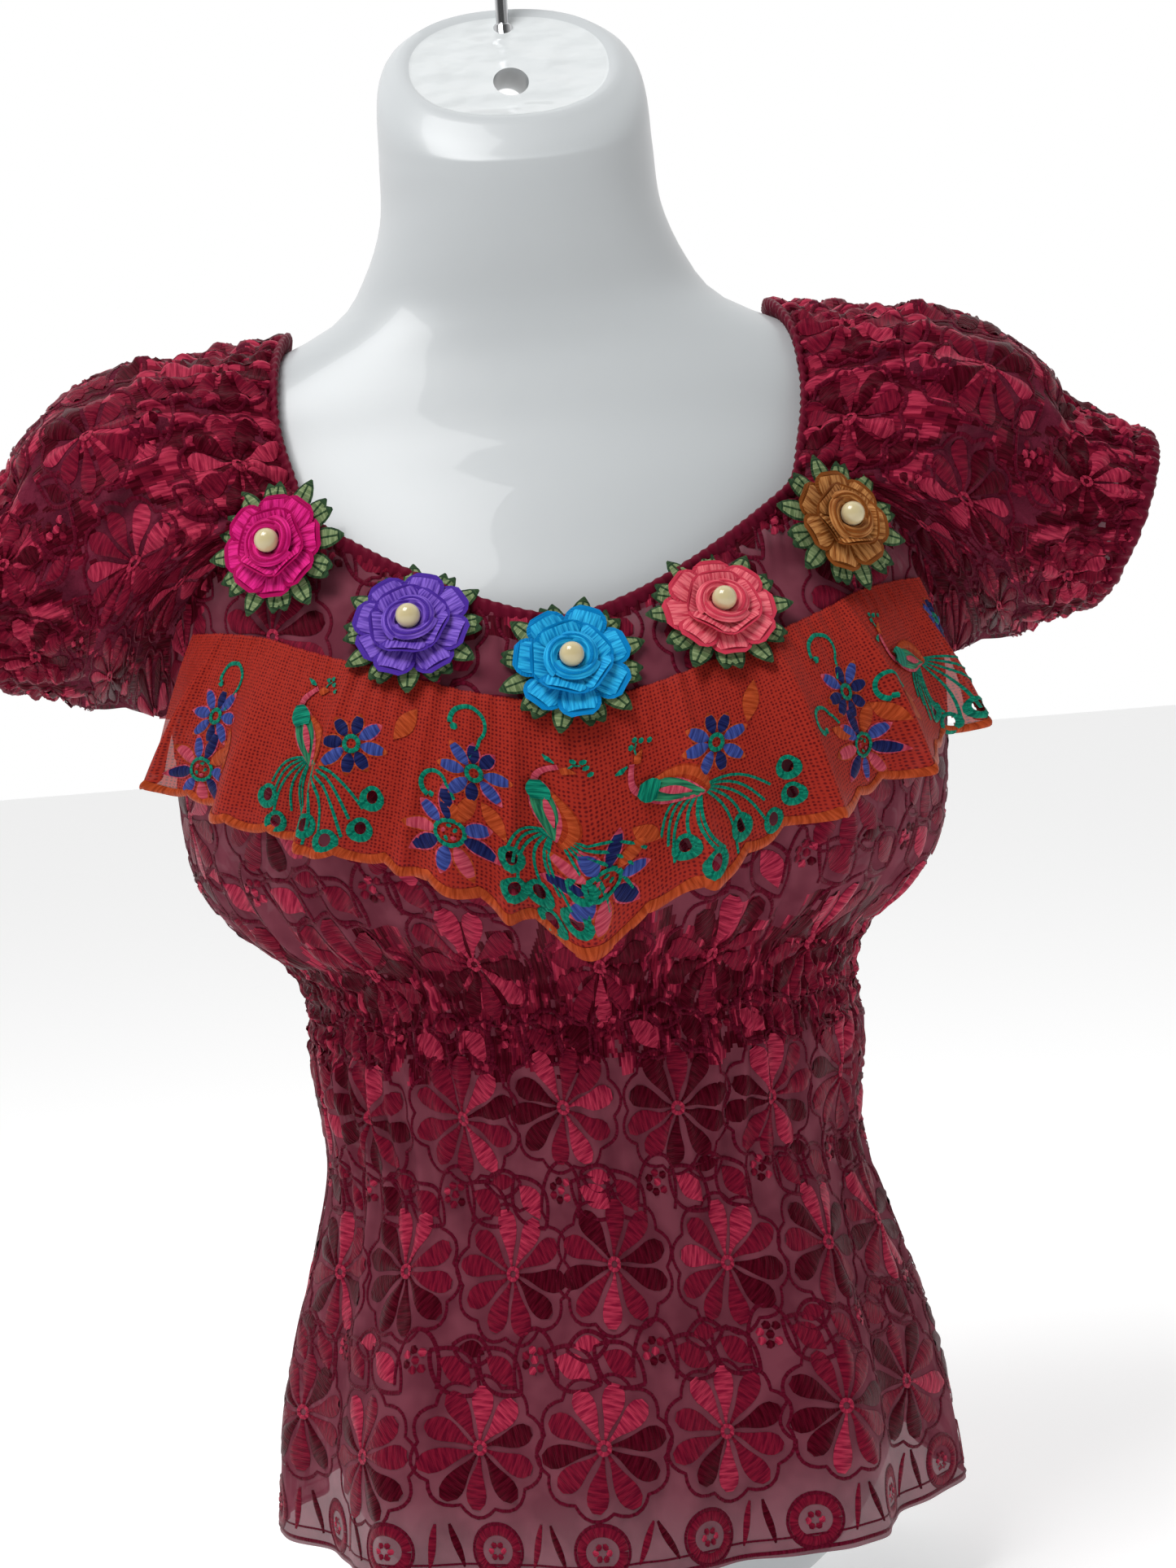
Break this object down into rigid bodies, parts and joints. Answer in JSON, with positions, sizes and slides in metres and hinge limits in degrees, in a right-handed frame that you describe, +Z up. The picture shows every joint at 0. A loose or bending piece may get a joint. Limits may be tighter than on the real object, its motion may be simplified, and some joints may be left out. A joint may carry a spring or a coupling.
{
  "type": "blouse on dress form",
  "caption": "Puff-sleeved sheer burgundy peasant blouse with a shirred waist, red net ruffle and embroidered roses, on a white dress form.",
  "frame": {"origin": "middle of the dress form's flat base", "axes": "+Z up from the base to the neck, -Y out of the blouse's front, +X to the wearer's left"},
  "size_m": [0.5276, 0.2566, 0.7622],
  "materials": {
    "embroidered_mesh": "sheer burgundy mesh with raised satin-stitch flowers in the same colour",
    "ruffle_net": "stiff red net with coloured embroidery and an orange scalloped edge",
    "leaf_thread": "green embroidery thread",
    "magenta_thread": "embroidery thread",
    "violet_thread": "embroidery thread",
    "turquoise_thread": "embroidery thread",
    "coral_thread": "embroidery thread",
    "amber_thread": "embroidery thread",
    "pearl": "pearlescent cream",
    "form_plastic": "satin white",
    "hook_steel": "polished"
  },
  "bodies": {
    "root": {"front": "embroidered_mesh", "back": "embroidered_mesh", "sleeve_left": "embroidered_mesh", "sleeve_right": "embroidered_mesh", "ruffle": "ruffle_net", "rose_magenta_leaves": "leaf_thread", "rose_magenta_petals": "magenta_thread", "rose_magenta_heart": "magenta_thread", "rose_magenta_pearl": "pearl", "rose_violet_leaves": "leaf_thread", "rose_violet_petals": "violet_thread", "rose_violet_heart": "violet_thread", "rose_violet_pearl": "pearl", "rose_turquoise_leaves": "leaf_thread", "rose_turquoise_petals": "turquoise_thread", "rose_turquoise_heart": "turquoise_thread", "rose_turquoise_pearl": "pearl", "rose_coral_leaves": "leaf_thread", "rose_coral_petals": "coral_thread", "rose_coral_heart": "coral_thread", "rose_coral_pearl": "pearl", "rose_amber_leaves": "leaf_thread", "rose_amber_petals": "amber_thread", "rose_amber_heart": "amber_thread", "rose_amber_pearl": "pearl", "form": "form_plastic", "hook": "hook_steel"}
  },
  "joints": []
}
